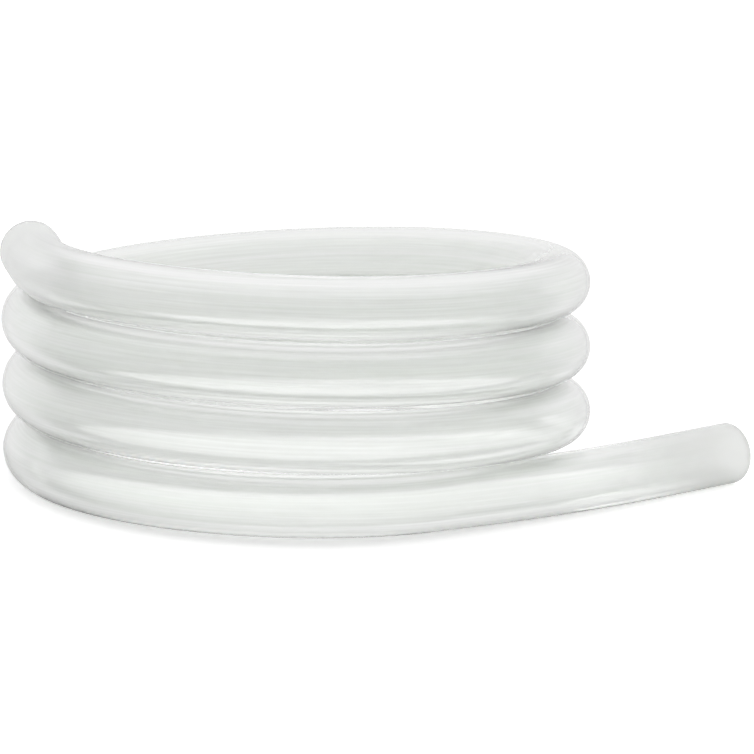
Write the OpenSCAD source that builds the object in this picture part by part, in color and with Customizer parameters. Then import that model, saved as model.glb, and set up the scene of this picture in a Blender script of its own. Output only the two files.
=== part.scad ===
// A plain flexible hose with both ends cut square. It lies coiled, with its
// lower end running out over the ground from under the turns.

/* [Hose] */
// Outside diameter of the hose
hose_d = 28.6; // [22:0.1:34]
// Diameter of the bore that runs through the whole hose
bore_d = 19.05; // [12:0.05:21]

/* [Coil] */
// Radius of the full turns, to the middle of the hose
turn_r = 122; // [118:0.5:160]
// Quarter bends of that radius, four to a turn
quarters = 12; // [8:1:16]
// Gap between one full turn and the next, down the coil's axis
turn_gap = 1.6; // [1.5:0.1:8]
// How much tighter the radius is of the bends that start and end the coil
draw_in = 12; // [5:0.5:13]
// Angle of the tighter bend that starts the coil
lead_a = 29; // [10:1:60]

/* [Ends] */
// Length of the straight upper end
upper_l = 28.6; // [20:0.1:60]
// Length of the straight stretch that leaves the coil
leave_l = 30; // [28:0.5:50]
// Radius of the easing bend that lays the hose down
ease_r = 1160; // [900:10:1600]
// Angle of the easing bend
ease_a = 5.8; // [4.5:0.1:8]
// Length of the straight lower end
lower_l = 45; // [30:1:120]
// Way that the lower end points, turned from the +X axis
lower_way = 43.7; // [0:0.1:90]
// Depth of the flat on the underside, where the hose lies on the ground
rest_cut = 0.5; // [0.2:0.1:1]

/* [Hidden] */
$fn = 96;

// Drop of the hose over one full turn
pitch = hose_d + turn_gap;
// Radius of the bends that start and end the coil
tight_r = turn_r - draw_in;
// Slope of the hose where two bends of the coil meet
slope = asin(pitch/(8*turn_r));
// Bends of the coil from its start down, as [radius, angle]
loops = concat([for (i = [1:quarters]) [turn_r, 90]], [[tight_r, 90]]);
// Widest angle between two neighbouring points of the route
point_a = 3;

// A frame on the hose's middle line is [place, side, way]: way points along the hose
// and side points straight away from the centre of the next bend.
function lift(f) = cross(f[1], f[2]);
function rolled(f, t) = [f[0], f[1]*cos(t) - lift(f)*sin(t), f[2]];
function ahead(f, l) = [f[0] + l*f[2], f[1], f[2]];
function turned_back(f) = [f[0], f[1], -f[2]];
function bent(f, r, a) =
    let(side = f[1]*cos(a) + f[2]*sin(a))
    [f[0] + r*(side - f[1]), side, f[2]*cos(a) - f[1]*sin(a)];
function along(f, r, a) =
    let(n = ceil(a/point_a))
    [for (i = [1:n]) bent(f, r, a*i/n)];

// Roll ahead of a bend and behind it, so that the hose leaves it at the slope it had.
// Its cosine is a round number, which keeps the hose's size the same from bend to bend.
function half_roll(a) = -acos(round(1e6*cos(asin(tan(slope)*tan(a/2))))/1e6);
function looped(f, b) = rolled(bent(rolled(f, half_roll(b[1])), b[0], b[1]), half_roll(b[1]));
function along_loop(f, b) = along(rolled(f, half_roll(b[1])), b[0], b[1]);

// Frames from the start of the full turns, with the coil's axis upright: up to the
// upper end, and down through the joints between the bends
start = [[turn_r, 0, 0], [1, 0, 0], [0, cos(slope), -sin(slope)]];
lead = [tight_r, lead_a];
led = looped(turned_back(start), lead);
joints = [for (i = 0, f = start; i <= len(loops); f = looped(f, loops[min(i, quarters)]), i = i + 1) f];
leaving = ahead(joints[len(loops)], leave_l);

// The easing bend is rolled so that the lower end lies level
easing = rolled(leaving, asin(tan(slope)/tan(ease_a)));
eased = bent(easing, ease_r, ease_a);
lying = rolled(eased, asin(eased[1].z));
tip = ahead(lying, lower_l);

// Frames along the whole hose, from the upper end to the lower end
rising = concat(along_loop(turned_back(start), lead), [ahead(led, upper_l)]);
route = concat(
    [for (i = [len(rising) - 1:-1:0]) rising[i]],
    [start],
    [for (i = [0:len(loops) - 1]) each along_loop(joints[i], loops[i])],
    [easing],
    along(easing, ease_r, ease_a),
    [tip]);

// The coil leans over the line of the lower end, until its far side meets the ground
function beside(p) = -(p - tip[0])*tip[1];
lean = min([for (f = route) if (beside(f[0]) > turn_r) atan2((f[0] - tip[0])*lift(tip), beside(f[0]))]);
ground = rolled(tip, lean);
function laid(v) =
    let(x = v*ground[1], y = v*ground[2], a = lower_way - 90)
    [x*cos(a) - y*sin(a), x*sin(a) + y*cos(a), v*lift(ground)];

// Middle of the space that the hose takes up on the ground
function reach(f, k) = hose_d/2*sqrt(1 - pow(laid(f[2])[k], 2));
function far(k) = max([for (f = route) laid(f[0] - tip[0])[k] + reach(f, k)]);
function near(k) = min([for (f = route) laid(f[0] - tip[0])[k] - reach(f, k)]);
middle = [(near(0) + far(0))/2, (near(1) + far(1))/2];

// Length of the hose up to each point, and its least gap to itself, taken between
// points that lie more than half a turn apart along it
function steps(i) = i == 0 ? 0 : norm(route[i][0] - route[i - 1][0]);
lengths = [for (i = 0, s = 0; i < len(route); i = i + 1, s = s + (i < len(route) ? steps(i) : 0)) s];
function off(p, a, b) =
    let(t = (p - a)*(b - a)/((b - a)*(b - a)))
    norm(p - a - max(0, min(1, t))*(b - a));
least_gap = min([
    for (i = [0:len(route) - 1], j = [i + 1:len(route) - 2])
        if (lengths[j] - lengths[i] > PI*tight_r) off(route[i][0], route[j][0], route[j + 1][0])
]) - hose_d;
echo(hose_length = lengths[len(route) - 1], least_gap = least_gap, lean = lean);

// Wall of the hose, cut square
module wall() {
    difference() {
        circle(d = hose_d);
        circle(d = bore_d);
    }
}

module straight(l) {
    rotate([-90, 0, 0])
        linear_extrude(l)
            wall();
}

module bend(r, a) {
    translate([-r, 0, 0])
        rotate_extrude(angle = a)
            translate([r, 0])
                wall();
}

// Children stand at the far end of a bend
module past_bend(r, a) {
    translate([-r, 0, 0])
        rotate([0, 0, a])
            translate([r, 0, 0])
                children();
}

// One bend of the coil, with its children where the hose goes on
module loop(b) {
    rotate([0, half_roll(b[1]), 0]) {
        bend(b[0], b[1]);
        past_bend(b[0], b[1])
            rotate([0, half_roll(b[1]), 0])
                children();
    }
}

// Bends of the coil from number i on, each at the end of the one before it
module loops_from(i) {
    if (i < len(loops))
        loop(loops[i])
            loops_from(i + 1);
    else
        straight(leave_l);
}

module at(f) {
    multmatrix([for (k = [0:2]) [f[1][k], f[2][k], lift(f)[k], f[0][k]]])
        children();
}

// Lays the hose on the ground, centred over the origin
module on_ground() {
    translate([-middle.x, -middle.y, hose_d/2 - rest_cut])
        rotate([0, 0, lower_way - 90])
            multmatrix([ground[1], ground[2], lift(ground)])
                translate(-tip[0])
                    children();
}

// Cuts its children flat where they would reach below the ground
module flat_below() {
    width = 6*turn_r;
    difference() {
        children();
        translate([-width/2, -width/2, -2*rest_cut])
            cube([width, width, 2*rest_cut]);
    }
}

module upper_end() {
    color("gainsboro")
        on_ground()
            at(led)
                straight(upper_l);
}

module coil() {
    color("whitesmoke")
        flat_below()
            on_ground()
                at(start) {
                    loops_from(0);
                    rotate([180, 0, 0])
                        loop(lead);
                }
}

module free_run() {
    color("gainsboro")
        flat_below()
            on_ground()
                at(easing)
                    bend(ease_r, ease_a);
}

module lower_end() {
    color("whitesmoke")
        flat_below()
            on_ground()
                at(lying)
                    straight(lower_l);
}

upper_end();
coil();
free_run();
lower_end();
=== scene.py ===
from math import asin, atan2, ceil, cos, pi, radians, sin, sqrt, tan

import bmesh
import bpy
from mathutils import Matrix, Vector


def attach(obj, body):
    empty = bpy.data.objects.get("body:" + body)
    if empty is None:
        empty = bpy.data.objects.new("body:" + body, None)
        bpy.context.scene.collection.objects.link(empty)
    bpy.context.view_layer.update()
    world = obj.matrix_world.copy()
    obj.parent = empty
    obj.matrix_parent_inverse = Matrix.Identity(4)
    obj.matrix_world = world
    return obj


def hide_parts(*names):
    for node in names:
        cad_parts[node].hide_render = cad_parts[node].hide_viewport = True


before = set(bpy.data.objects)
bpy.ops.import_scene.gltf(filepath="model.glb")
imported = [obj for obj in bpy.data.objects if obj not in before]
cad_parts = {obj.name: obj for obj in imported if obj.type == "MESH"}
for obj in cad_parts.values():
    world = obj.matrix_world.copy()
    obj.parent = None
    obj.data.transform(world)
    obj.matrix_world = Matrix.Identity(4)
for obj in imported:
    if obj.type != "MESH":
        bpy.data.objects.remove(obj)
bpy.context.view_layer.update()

scene = bpy.context.scene
scene.view_settings.view_transform = "Standard"


# ---------------------------------------------------------------- Camera
# A long lens on a stand, a few paces from the coil and a little above it. It looks
# slightly down, so that the far side of the top turn shows over the near side.

PICTURE_SIDE = 754
LENS_IN_PIXELS = 6254.4
SENSOR_WIDTH = 36.0
FARTHEST_SEEN = 30.0
CAMERA_PLACE = (-0.085783, -2.831120, 0.669720)
CAMERA_RIGHT = (0.998962, -0.021261, 0.040288)
CAMERA_BACK = (-0.029390, -0.976527, 0.213382)

camera_data = bpy.data.cameras.new("studio_camera")
camera_data.sensor_width = SENSOR_WIDTH
camera_data.lens = SENSOR_WIDTH * LENS_IN_PIXELS / PICTURE_SIDE
camera_data.clip_end = FARTHEST_SEEN
camera_data.dof.use_dof = False

camera_right = Vector(CAMERA_RIGHT).normalized()
camera_back = Vector(CAMERA_BACK).normalized()
camera_up = camera_back.cross(camera_right)
camera = bpy.data.objects.new("studio_camera", camera_data)
camera.matrix_world = Matrix.Translation(CAMERA_PLACE) @ Matrix(
    (camera_right, camera_up, camera_back)
).transposed().to_4x4()
scene.collection.objects.link(camera)
scene.camera = camera


# ---------------------------------------------------------------- Hose
# One length of soft PVC hose, milky and faintly see-through, with both ends cut
# square and left bare. It is extruded straight, pulled off cold and then coiled by
# hand, so fine lines from the die run along it and follow every turn.

HOSE_D = 0.0286
BORE_D = 0.01905
TURN_R = 0.122
QUARTER_BENDS = 12
TURN_GAP = 0.0016
DRAW_IN = 0.012
LEAD_ANGLE = radians(29)
UPPER_LENGTH = 0.0286
LEAVE_LENGTH = 0.030
EASE_R = 1.160
EASE_ANGLE = radians(5.8)
LOWER_LENGTH = 0.045
LOWER_WAY = radians(43.7)
REST_FLAT = 0.0005
GROUND_LEVEL = 0.0

# The line of the hose. A place on it is a matrix: X points away from the centre of
# the next bend, Y along the hose, and Z is square to both. The coil's axis stands
# upright at first, and the hose sinks by one pitch a turn.
PITCH = HOSE_D + TURN_GAP
TIGHT_R = TURN_R - DRAW_IN
SLOPE = asin(PITCH / (8 * TURN_R))
POINT_SPACING = 0.0032


def rolled(place, angle):
    """A place turned about the line of the hose."""
    return place @ Matrix.Rotation(angle, 4, "Y")


def bent(place, radius, angle):
    """The place that a bend from here leads to."""
    centre = Matrix.Translation((-radius, 0, 0))
    return place @ centre @ Matrix.Rotation(angle, 4, "Z") @ centre.inverted()


def half_roll(angle):
    """The roll before a bend of the coil and after it, which keeps the coil's slope."""
    return -asin(tan(SLOPE) * tan(angle / 2))


def follow_bend(places, radius, angle):
    """Adds the places along a bend."""
    first = places[-1]
    steps = ceil(radius * angle / POINT_SPACING)
    for step in range(1, steps + 1):
        places.append(bent(first, radius, angle * step / steps))


def follow_loop(places, radius, angle):
    """Adds the places along a bend of the coil, with a roll before it and after it."""
    places[-1] = rolled(places[-1], half_roll(angle))
    follow_bend(places, radius, angle)
    places[-1] = rolled(places[-1], half_roll(angle))


def follow_straight(places, length):
    """Adds the places along a straight stretch."""
    first = places[-1]
    steps = ceil(length / POINT_SPACING)
    for step in range(1, steps + 1):
        places.append(first @ Matrix.Translation((0, length * step / steps, 0)))


coil_start = Matrix.Translation((TURN_R, 0, 0)) @ Matrix.Rotation(-SLOPE, 4, "X")

rising = [coil_start @ Matrix.Rotation(pi, 4, "X")]
follow_loop(rising, TIGHT_R, LEAD_ANGLE)
follow_straight(rising, UPPER_LENGTH)

falling = [coil_start]
for _ in range(QUARTER_BENDS):
    follow_loop(falling, TURN_R, pi / 2)
follow_loop(falling, TIGHT_R, pi / 2)
follow_straight(falling, LEAVE_LENGTH)
falling[-1] = rolled(falling[-1], asin(tan(SLOPE) / tan(EASE_ANGLE)))
follow_bend(falling, EASE_R, EASE_ANGLE)
falling[-1] = rolled(falling[-1], asin(falling[-1].col[0].z))
follow_straight(falling, LOWER_LENGTH)

route = [place.translation.copy() for place in reversed(rising[1:])]
route += [place.translation.copy() for place in falling]
ways = [-place.col[1].to_3d() for place in reversed(rising[1:])]
ways += [place.col[1].to_3d() for place in falling]

# The coil leans over the line of its lower end until its far side meets the ground.
tip = falling[-1]
side = tip.col[0].to_3d()
lift = tip.col[2].to_3d()
lean = min(
    atan2((point - tip.translation).dot(lift), -(point - tip.translation).dot(side))
    for point in route
    if -(point - tip.translation).dot(side) > TURN_R
)
on_ground = (
    Matrix.Rotation(LOWER_WAY - pi / 2, 4, "Z")
    @ rolled(tip, lean).to_3x3().transposed().to_4x4()
    @ Matrix.Translation(-tip.translation)
)
route = [on_ground @ point for point in route]
ways = [on_ground.to_3x3() @ way for way in ways]


def reach(way, axis):
    """How far the hose's wall stands out from its middle along an axis."""
    return HOSE_D / 2 * sqrt(max(0.0, 1 - way[axis] ** 2))


def middle(axis):
    """Middle of the space that the hose takes up along an axis."""
    near = min(point[axis] - reach(way, axis) for point, way in zip(route, ways))
    far = max(point[axis] + reach(way, axis) for point, way in zip(route, ways))
    return (near + far) / 2


to_place = Vector((-middle(0), -middle(1), HOSE_D / 2 - REST_FLAT))
route = [point + to_place for point in route]
hose_length = sum((b - a).length for a, b in zip(route, route[1:]))

route_curve = bpy.data.curves.new("hose_route", "CURVE")
route_curve.dimensions = "3D"
spline = route_curve.splines.new("POLY")
spline.points.add(len(route) - 1)
for spline_point, point in zip(spline.points, route):
    spline_point.co = (*point, 1)
route_object = bpy.data.objects.new("hose_route", route_curve)
scene.collection.objects.link(route_object)

# The straight hose, as it comes from the die: the wall's outline spun about Z. The
# edges of both cuts are broken by the knife to a very small radius.
POINTS_AROUND = 84
RING_SPACING = 0.0039
BORE_RING_SPACING = 0.0075
CUT_EDGE_R = 0.00045
CUT_EDGE_POINTS = 4
SAME_POINT = 1e-6


def rounded_corner(z, r, first_angle):
    """Points round one corner of the wall's outline, a quarter circle about (z, r)."""
    angles = [
        first_angle - pi / 2 * k / CUT_EDGE_POINTS for k in range(CUT_EDGE_POINTS + 1)
    ]
    return [(z + CUT_EDGE_R * cos(a), r + CUT_EDGE_R * sin(a)) for a in angles]


def wall_line(z_from, z_to, r, spacing):
    """Points along the wall, without its two ends."""
    steps = ceil(abs(z_to - z_from) / spacing)
    return [(z_from + (z_to - z_from) * k / steps, r) for k in range(1, steps)]


outer_r = HOSE_D / 2
bore_r = BORE_D / 2
near_edge = CUT_EDGE_R
far_edge = hose_length - CUT_EDGE_R
outline = (
    rounded_corner(near_edge, outer_r - CUT_EDGE_R, pi)
    + wall_line(near_edge, far_edge, outer_r, RING_SPACING)
    + rounded_corner(far_edge, outer_r - CUT_EDGE_R, pi / 2)
    + rounded_corner(far_edge, bore_r + CUT_EDGE_R, 0)
    + wall_line(far_edge, near_edge, bore_r, BORE_RING_SPACING)
    + rounded_corner(near_edge, bore_r + CUT_EDGE_R, -pi / 2)
)

straight_hose = bmesh.new()
corners = [straight_hose.verts.new((r, 0, z)) for z, r in outline]
edges = [
    straight_hose.edges.new((a, b)) for a, b in zip(corners, corners[1:] + corners[:1])
]
bmesh.ops.spin(
    straight_hose,
    geom=corners + edges,
    cent=(0, 0, 0),
    axis=(0, 0, 1),
    angle=2 * pi,
    steps=POINTS_AROUND,
    use_merge=True,
)
bmesh.ops.remove_doubles(straight_hose, verts=straight_hose.verts, dist=SAME_POINT)
bmesh.ops.recalc_face_normals(straight_hose, faces=straight_hose.faces)
for face in straight_hose.faces:
    face.smooth = True
straight_mesh = bpy.data.meshes.new("straight_hose")
straight_hose.to_mesh(straight_mesh)
straight_hose.free()
straight_object = bpy.data.objects.new("straight_hose", straight_mesh)
scene.collection.objects.link(straight_object)

# A Mix node's sockets go by number.
SHARE, NUMBER_A, NUMBER_B, COLOUR_A, COLOUR_B = 0, 2, 3, 6, 7
MIXED_NUMBER, MIXED_COLOUR = 0, 2


def add_node(tree, kind, inputs=None, **settings):
    """Adds a node with its settings, its input values and its links."""
    node = tree.nodes.new(kind)
    for name, value in settings.items():
        setattr(node, name, value)
    for socket, value in (inputs or {}).items():
        if isinstance(value, bpy.types.NodeSocket):
            tree.links.new(value, node.inputs[socket])
        else:
            node.inputs[socket].default_value = value
    return node


def srgb(code):
    """Linear colour of an sRGB hex value."""
    parts = [int(code[k : k + 2], 16) / 255 for k in (1, 3, 5)]
    return (
        *(p / 12.92 if p <= 0.04045 else ((p + 0.055) / 1.055) ** 2.4 for p in parts),
        1,
    )


# Soft PVC, clear compound with a little white in it, extruded. The die leaves it
# glossy with fine lines along it, and its milkiness changes slowly on the way, which
# gives the long soft streaks that the eye sees in the wall. Real die lines lie about
# 0.2 mm apart. They are drawn coarser, so that they show.
DIE_LINE_SPACING = 0.0011
DIE_LINE_LENGTH = 0.060
DIE_LINE_DETAIL = 2.0
DIE_LINE_DEPTH = 0.00004
DIE_LINE_BUMP = 0.01
STREAK_SPACING = 0.0050
STREAK_LENGTH = 0.260
STREAK_DETAIL = 3.0
DIE_LINE_SHARE = 0.4
CLEAR_BELOW = 0.38
MILKY_ABOVE = 0.62
CLEAR_WALL = "#FAFDF9"
MILKY_WALL = "#FFFFFF"
SEE_THROUGH_MIN = 0.78
SEE_THROUGH_MAX = 0.81
SMOOTH_BELOW = 0.3
ROUGH_ABOVE = 0.7
ROUGHNESS_MIN = 0.05
ROUGHNESS_MAX = 0.10
SCATTER_LENGTH = 0.010
SCATTER_BY_COLOUR = (1.0, 1.0, 0.95)
PVC_IOR = 1.5

# Light passes many walls of the coil before it comes out again.
scene.cycles.max_bounces = 32
scene.cycles.diffuse_bounces = 24
scene.cycles.transmission_bounces = 32
scene.cycles.glossy_bounces = 12

milky_pvc = bpy.data.materials.new("extruded_milky_pvc")
milky_pvc.use_nodes = True
tree = milky_pvc.node_tree
tree.nodes.clear()
wall_place = add_node(
    tree, "ShaderNodeAttribute", attribute_type="GEOMETRY", attribute_name="wall_place"
)
die_place = add_node(
    tree,
    "ShaderNodeMapping",
    {
        "Vector": wall_place.outputs["Vector"],
        "Scale": (1 / DIE_LINE_SPACING, 1 / DIE_LINE_SPACING, 1 / DIE_LINE_LENGTH),
    },
)
die_lines = add_node(
    tree,
    "ShaderNodeTexNoise",
    {
        "Vector": die_place.outputs["Vector"],
        "Scale": 1.0,
        "Detail": DIE_LINE_DETAIL,
    },
)
streak_place = add_node(
    tree,
    "ShaderNodeMapping",
    {
        "Vector": wall_place.outputs["Vector"],
        "Scale": (1 / STREAK_SPACING, 1 / STREAK_SPACING, 1 / STREAK_LENGTH),
    },
)
streaks = add_node(
    tree,
    "ShaderNodeTexNoise",
    {
        "Vector": streak_place.outputs["Vector"],
        "Scale": 1.0,
        "Detail": STREAK_DETAIL,
    },
)
mixed_lines = add_node(
    tree,
    "ShaderNodeMix",
    {
        SHARE: DIE_LINE_SHARE,
        NUMBER_A: streaks.outputs["Fac"],
        NUMBER_B: die_lines.outputs["Fac"],
    },
    data_type="FLOAT",
)
milkiness = add_node(
    tree,
    "ShaderNodeMapRange",
    {
        "Value": mixed_lines.outputs[MIXED_NUMBER],
        "From Min": CLEAR_BELOW,
        "From Max": MILKY_ABOVE,
    },
)
wall_colour = add_node(
    tree,
    "ShaderNodeMix",
    {
        SHARE: milkiness.outputs["Result"],
        COLOUR_A: srgb(CLEAR_WALL),
        COLOUR_B: srgb(MILKY_WALL),
    },
    data_type="RGBA",
)
see_through = add_node(
    tree,
    "ShaderNodeMapRange",
    {
        "Value": milkiness.outputs["Result"],
        "To Min": SEE_THROUGH_MAX,
        "To Max": SEE_THROUGH_MIN,
    },
)
roughness = add_node(
    tree,
    "ShaderNodeMapRange",
    {
        "Value": die_lines.outputs["Fac"],
        "From Min": SMOOTH_BELOW,
        "From Max": ROUGH_ABOVE,
        "To Min": ROUGHNESS_MIN,
        "To Max": ROUGHNESS_MAX,
    },
)
die_bump = add_node(
    tree,
    "ShaderNodeBump",
    {
        "Height": die_lines.outputs["Fac"],
        "Strength": DIE_LINE_BUMP,
        "Distance": DIE_LINE_DEPTH,
    },
)

# Hands and fittings wear both ends, so the last hand's breadth is hazy and duller.
# Towards each cut it also gets a grey tint, which is painted shade on the ends.
WEAR_AND_PAINTED_SHADE_LENGTH = 0.110
FULL_WEAR_AND_PAINTED_SHADE_LENGTH = 0.011
PAINTED_END_SHADE_GREY = "#F4F6F3"
PAINTED_END_SHADE_POWER = 4.0
WORN_ROUGHNESS = 0.26
WORN_SEE_THROUGH = 0.42

along_hose = add_node(
    tree, "ShaderNodeSeparateXYZ", {"Vector": wall_place.outputs["Vector"]}
)
past_middle = add_node(
    tree,
    "ShaderNodeMath",
    {0: along_hose.outputs["Z"], 1: hose_length / 2},
    operation="SUBTRACT",
)
from_middle = add_node(
    tree, "ShaderNodeMath", {0: past_middle.outputs["Value"]}, operation="ABSOLUTE"
)
wear_and_painted_shade = add_node(
    tree,
    "ShaderNodeMapRange",
    {
        "Value": from_middle.outputs["Value"],
        "From Min": hose_length / 2 - WEAR_AND_PAINTED_SHADE_LENGTH,
        "From Max": hose_length / 2 - FULL_WEAR_AND_PAINTED_SHADE_LENGTH,
    },
    interpolation_type="SMOOTHSTEP",
)
# Painted shade: a grey tint that darkens the last stretch towards each cut.
painted_end_shade = add_node(
    tree,
    "ShaderNodeMath",
    {0: wear_and_painted_shade.outputs["Result"], 1: PAINTED_END_SHADE_POWER},
    operation="POWER",
)
colour_with_painted_end_shade = add_node(
    tree,
    "ShaderNodeMix",
    {
        SHARE: painted_end_shade.outputs["Value"],
        COLOUR_A: wall_colour.outputs[MIXED_COLOUR],
        COLOUR_B: srgb(PAINTED_END_SHADE_GREY),
    },
    data_type="RGBA",
)
worn_roughness = add_node(
    tree,
    "ShaderNodeMix",
    {
        SHARE: wear_and_painted_shade.outputs["Result"],
        NUMBER_A: roughness.outputs["Result"],
        NUMBER_B: WORN_ROUGHNESS,
    },
    data_type="FLOAT",
)
worn_see_through = add_node(
    tree,
    "ShaderNodeMix",
    {
        SHARE: wear_and_painted_shade.outputs["Result"],
        NUMBER_A: see_through.outputs["Result"],
        NUMBER_B: WORN_SEE_THROUGH,
    },
    data_type="FLOAT",
)

# The knife leaves both cut faces matt and whiter than the wall.
CUT_FACE_ROUGHNESS = 0.40
CUT_FACE_SEE_THROUGH = 0.25

on_cut_face = add_node(
    tree,
    "ShaderNodeMath",
    {0: from_middle.outputs["Value"], 1: hose_length / 2 - CUT_EDGE_R},
    operation="GREATER_THAN",
)
cut_roughness = add_node(
    tree,
    "ShaderNodeMix",
    {
        SHARE: on_cut_face.outputs["Value"],
        NUMBER_A: worn_roughness.outputs[MIXED_NUMBER],
        NUMBER_B: CUT_FACE_ROUGHNESS,
    },
    data_type="FLOAT",
)
cut_see_through = add_node(
    tree,
    "ShaderNodeMix",
    {
        SHARE: on_cut_face.outputs["Value"],
        NUMBER_A: worn_see_through.outputs[MIXED_NUMBER],
        NUMBER_B: CUT_FACE_SEE_THROUGH,
    },
    data_type="FLOAT",
)

# The haze sits in the wall. Light that comes to a face from within goes straight out.
FULLY_CLEAR = 1.0

wall_side = add_node(tree, "ShaderNodeNewGeometry")
clarity = add_node(
    tree,
    "ShaderNodeMix",
    {
        SHARE: wall_side.outputs["Backfacing"],
        NUMBER_A: cut_see_through.outputs[MIXED_NUMBER],
        NUMBER_B: FULLY_CLEAR,
    },
    data_type="FLOAT",
)
pvc_shader = add_node(
    tree,
    "ShaderNodeBsdfPrincipled",
    {
        "Base Color": colour_with_painted_end_shade.outputs[MIXED_COLOUR],
        "Roughness": cut_roughness.outputs[MIXED_NUMBER],
        "Normal": die_bump.outputs["Normal"],
        "IOR": PVC_IOR,
        "Transmission Weight": clarity.outputs[MIXED_NUMBER],
        "Subsurface Weight": 1.0,
        "Subsurface Radius": SCATTER_BY_COLOUR,
        "Subsurface Scale": SCATTER_LENGTH,
    },
)
add_node(tree, "ShaderNodeOutputMaterial", {"Surface": pvc_shader.outputs["BSDF"]})

# Coiling: each point of the straight hose keeps its own place as an attribute, for
# the die lines, and then moves to where the route has it. The ground presses the
# underside flat.
coiling = bpy.data.node_groups.new("coil_hose", "GeometryNodeTree")
for name, kind in (
    ("Straight hose", "NodeSocketGeometry"),
    ("Route", "NodeSocketObject"),
    ("Ground level", "NodeSocketFloat"),
    ("Compound", "NodeSocketMaterial"),
):
    coiling.interface.new_socket(name, in_out="INPUT", socket_type=kind)
coiling.interface.new_socket(
    "Coiled hose", in_out="OUTPUT", socket_type="NodeSocketGeometry"
)
given = add_node(coiling, "NodeGroupInput").outputs
straight_place = add_node(coiling, "GeometryNodeInputPosition")
kept = add_node(
    coiling,
    "GeometryNodeStoreNamedAttribute",
    {
        "Geometry": given["Straight hose"],
        "Name": "wall_place",
        "Value": straight_place.outputs["Position"],
    },
    data_type="FLOAT_VECTOR",
    domain="POINT",
)
straight_parts = add_node(
    coiling, "ShaderNodeSeparateXYZ", {"Vector": straight_place.outputs["Position"]}
)
route_info = add_node(coiling, "GeometryNodeObjectInfo", {"Object": given["Route"]})
on_route = add_node(
    coiling,
    "GeometryNodeSampleCurve",
    {
        "Curves": route_info.outputs["Geometry"],
        "Length": straight_parts.outputs["Z"],
    },
    mode="LENGTH",
)
across = add_node(
    coiling,
    "ShaderNodeVectorMath",
    {0: on_route.outputs["Tangent"], 1: on_route.outputs["Normal"]},
    operation="CROSS_PRODUCT",
)
out_x = add_node(
    coiling,
    "ShaderNodeVectorMath",
    {0: on_route.outputs["Normal"], "Scale": straight_parts.outputs["X"]},
    operation="SCALE",
)
out_y = add_node(
    coiling,
    "ShaderNodeVectorMath",
    {0: across.outputs["Vector"], "Scale": straight_parts.outputs["Y"]},
    operation="SCALE",
)
out_xy = add_node(
    coiling,
    "ShaderNodeVectorMath",
    {0: out_x.outputs["Vector"], 1: out_y.outputs["Vector"]},
    operation="ADD",
)
coiled_place = add_node(
    coiling,
    "ShaderNodeVectorMath",
    {0: on_route.outputs["Position"], 1: out_xy.outputs["Vector"]},
    operation="ADD",
)
coiled_parts = add_node(
    coiling, "ShaderNodeSeparateXYZ", {"Vector": coiled_place.outputs["Vector"]}
)
height = add_node(
    coiling,
    "ShaderNodeMath",
    {0: coiled_parts.outputs["Z"], 1: given["Ground level"]},
    operation="MAXIMUM",
)
pressed = add_node(
    coiling,
    "ShaderNodeCombineXYZ",
    {
        "X": coiled_parts.outputs["X"],
        "Y": coiled_parts.outputs["Y"],
        "Z": height.outputs["Value"],
    },
)
laid = add_node(
    coiling,
    "GeometryNodeSetPosition",
    {"Geometry": kept.outputs["Geometry"], "Position": pressed.outputs["Vector"]},
)
realised = add_node(
    coiling, "GeometryNodeRealizeInstances", {"Geometry": laid.outputs["Geometry"]}
)
finished = add_node(
    coiling,
    "GeometryNodeSetMaterial",
    {"Geometry": realised.outputs["Geometry"], "Material": given["Compound"]},
)
add_node(coiling, "NodeGroupOutput", {"Coiled hose": finished.outputs["Geometry"]})

coil_modifier = straight_object.modifiers.new("coil_hose", "NODES")
coil_modifier.node_group = coiling
coil_values = {
    "Route": route_object,
    "Ground level": GROUND_LEVEL,
    "Compound": milky_pvc,
}
for item in coiling.interface.items_tree:
    if item.name in coil_values:
        coil_modifier[item.identifier] = coil_values[item.name]

depsgraph = bpy.context.evaluated_depsgraph_get()
hose_mesh = bpy.data.meshes.new_from_object(
    straight_object.evaluated_get(depsgraph),
    preserve_all_data_layers=True,
    depsgraph=depsgraph,
)
hose_mesh.name = "coiled_hose"
hose = bpy.data.objects.new("coiled_hose", hose_mesh)
scene.collection.objects.link(hose)
bpy.data.objects.remove(straight_object)
bpy.data.objects.remove(route_object)

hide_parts("upper_end", "coil", "free_run", "lower_end")
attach(hose, "root")


# ---------------------------------------------------------------- Ground
# A wide white sheet under the coil. It is lit to white and keeps a faint shadow. A
# painted pool of light glows on it inside the coil, seen only through the milky walls.

GROUND_SIDE = 12.0
LIFT_TO_WHITE = 0.45
PAINTED_POOL_LEVEL = 0.50
PAINTED_POOL_MIDDLE_R = 0.13
PAINTED_POOL_EDGE_R = 0.20
SHEET_WHITE = "#F7F7F7"
SHEET_ROUGHNESS = 0.9

half_side = GROUND_SIDE / 2
ground_mesh = bpy.data.meshes.new("studio_ground")
ground_mesh.from_pydata(
    [
        (x * half_side, y * half_side, GROUND_LEVEL)
        for x, y in ((-1, -1), (1, -1), (1, 1), (-1, 1))
    ],
    [],
    [(0, 1, 2, 3)],
)
ground = bpy.data.objects.new("studio_ground", ground_mesh)
scene.collection.objects.link(ground)

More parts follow.
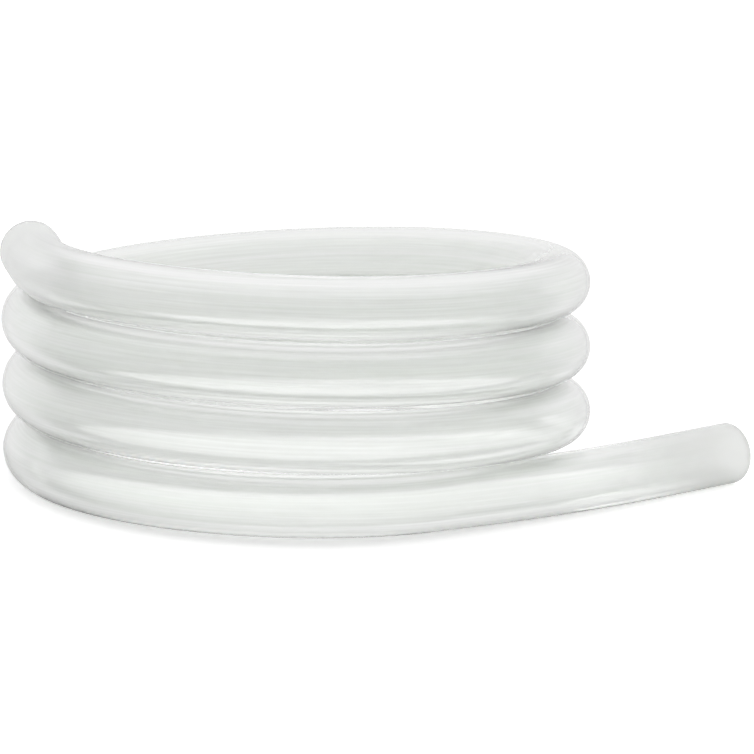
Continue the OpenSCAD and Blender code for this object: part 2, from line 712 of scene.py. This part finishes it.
white_sheet = bpy.data.materials.new("matt_white_sheet")
white_sheet.use_nodes = True
tree = white_sheet.node_tree
tree.nodes.clear()
ray = add_node(tree, "ShaderNodeLightPath").outputs
ground_place = add_node(tree, "ShaderNodeTexCoord")
from_centre = add_node(
    tree,
    "ShaderNodeVectorMath",
    {0: ground_place.outputs["Object"]},
    operation="LENGTH",
)
# Painted pool of light: the sheet glows inside the coil for rays that came through the
# hose.
painted_light_pool = add_node(
    tree,
    "ShaderNodeMapRange",
    {
        "Value": from_centre.outputs["Value"],
        "From Min": PAINTED_POOL_MIDDLE_R,
        "From Max": PAINTED_POOL_EDGE_R,
        "To Min": PAINTED_POOL_LEVEL,
        "To Max": 0.0,
    },
    interpolation_type="SMOOTHSTEP",
)
painted_pool_through_hose = add_node(
    tree,
    "ShaderNodeMath",
    {0: ray["Is Transmission Ray"], 1: painted_light_pool.outputs["Result"]},
    operation="MULTIPLY",
)
white_lift_and_painted_pool = add_node(
    tree,
    "ShaderNodeMath",
    {
        0: ray["Is Camera Ray"],
        1: LIFT_TO_WHITE,
        2: painted_pool_through_hose.outputs["Value"],
    },
    operation="MULTIPLY_ADD",
)
sheet_shader = add_node(
    tree,
    "ShaderNodeBsdfPrincipled",
    {
        "Base Color": srgb(SHEET_WHITE),
        "Roughness": SHEET_ROUGHNESS,
        "Specular IOR Level": 0.0,
        "Emission Color": srgb("#FFFFFF"),
        "Emission Strength": white_lift_and_painted_pool.outputs["Value"],
    },
)
add_node(tree, "ShaderNodeOutputMaterial", {"Surface": sheet_shader.outputs["BSDF"]})
ground_mesh.materials.append(white_sheet)


# ---------------------------------------------------------------- Light
# A white tent stands round and over the coil and lights it evenly from all sides. One
# large soft box over it adds a little from above.

TENT_LEVEL = 0.91
TENT_SEEN_LEVEL = 1.0
TOP_BOX_LEVEL = 0.1
TOP_BOX_WIDTH = 1.9
TOP_BOX_DEPTH = 1.5
TOP_BOX_PLACE = (0.0, 0.05, 1.25)
TOP_BOX_TARGET = (0.0, 0.0, 0.05)

tent = bpy.data.worlds.new("white_tent")
tent.use_nodes = True
tree = tent.node_tree
tree.nodes.clear()
ray = add_node(tree, "ShaderNodeLightPath").outputs
tent_strength = add_node(
    tree,
    "ShaderNodeMix",
    {
        SHARE: ray["Is Camera Ray"],
        NUMBER_A: TENT_LEVEL,
        NUMBER_B: TENT_SEEN_LEVEL,
    },
    data_type="FLOAT",
)
tent_wall = add_node(
    tree,
    "ShaderNodeBackground",
    {"Color": srgb("#FFFFFF"), "Strength": tent_strength.outputs[MIXED_NUMBER]},
)
add_node(tree, "ShaderNodeOutputWorld", {"Surface": tent_wall.outputs["Background"]})
scene.world = tent

box_lamp = bpy.data.lights.new("top_soft_box", "AREA")
box_lamp.shape = "RECTANGLE"
box_lamp.size = TOP_BOX_WIDTH
box_lamp.size_y = TOP_BOX_DEPTH
box_lamp.energy = TOP_BOX_LEVEL * pi * TOP_BOX_WIDTH * TOP_BOX_DEPTH
top_box = bpy.data.objects.new("top_soft_box", box_lamp)
box_way = Vector(TOP_BOX_TARGET) - Vector(TOP_BOX_PLACE)
top_box.matrix_world = (
    Matrix.Translation(TOP_BOX_PLACE)
    @ box_way.to_track_quat("-Z", "Y").to_matrix().to_4x4()
)
scene.collection.objects.link(top_box)
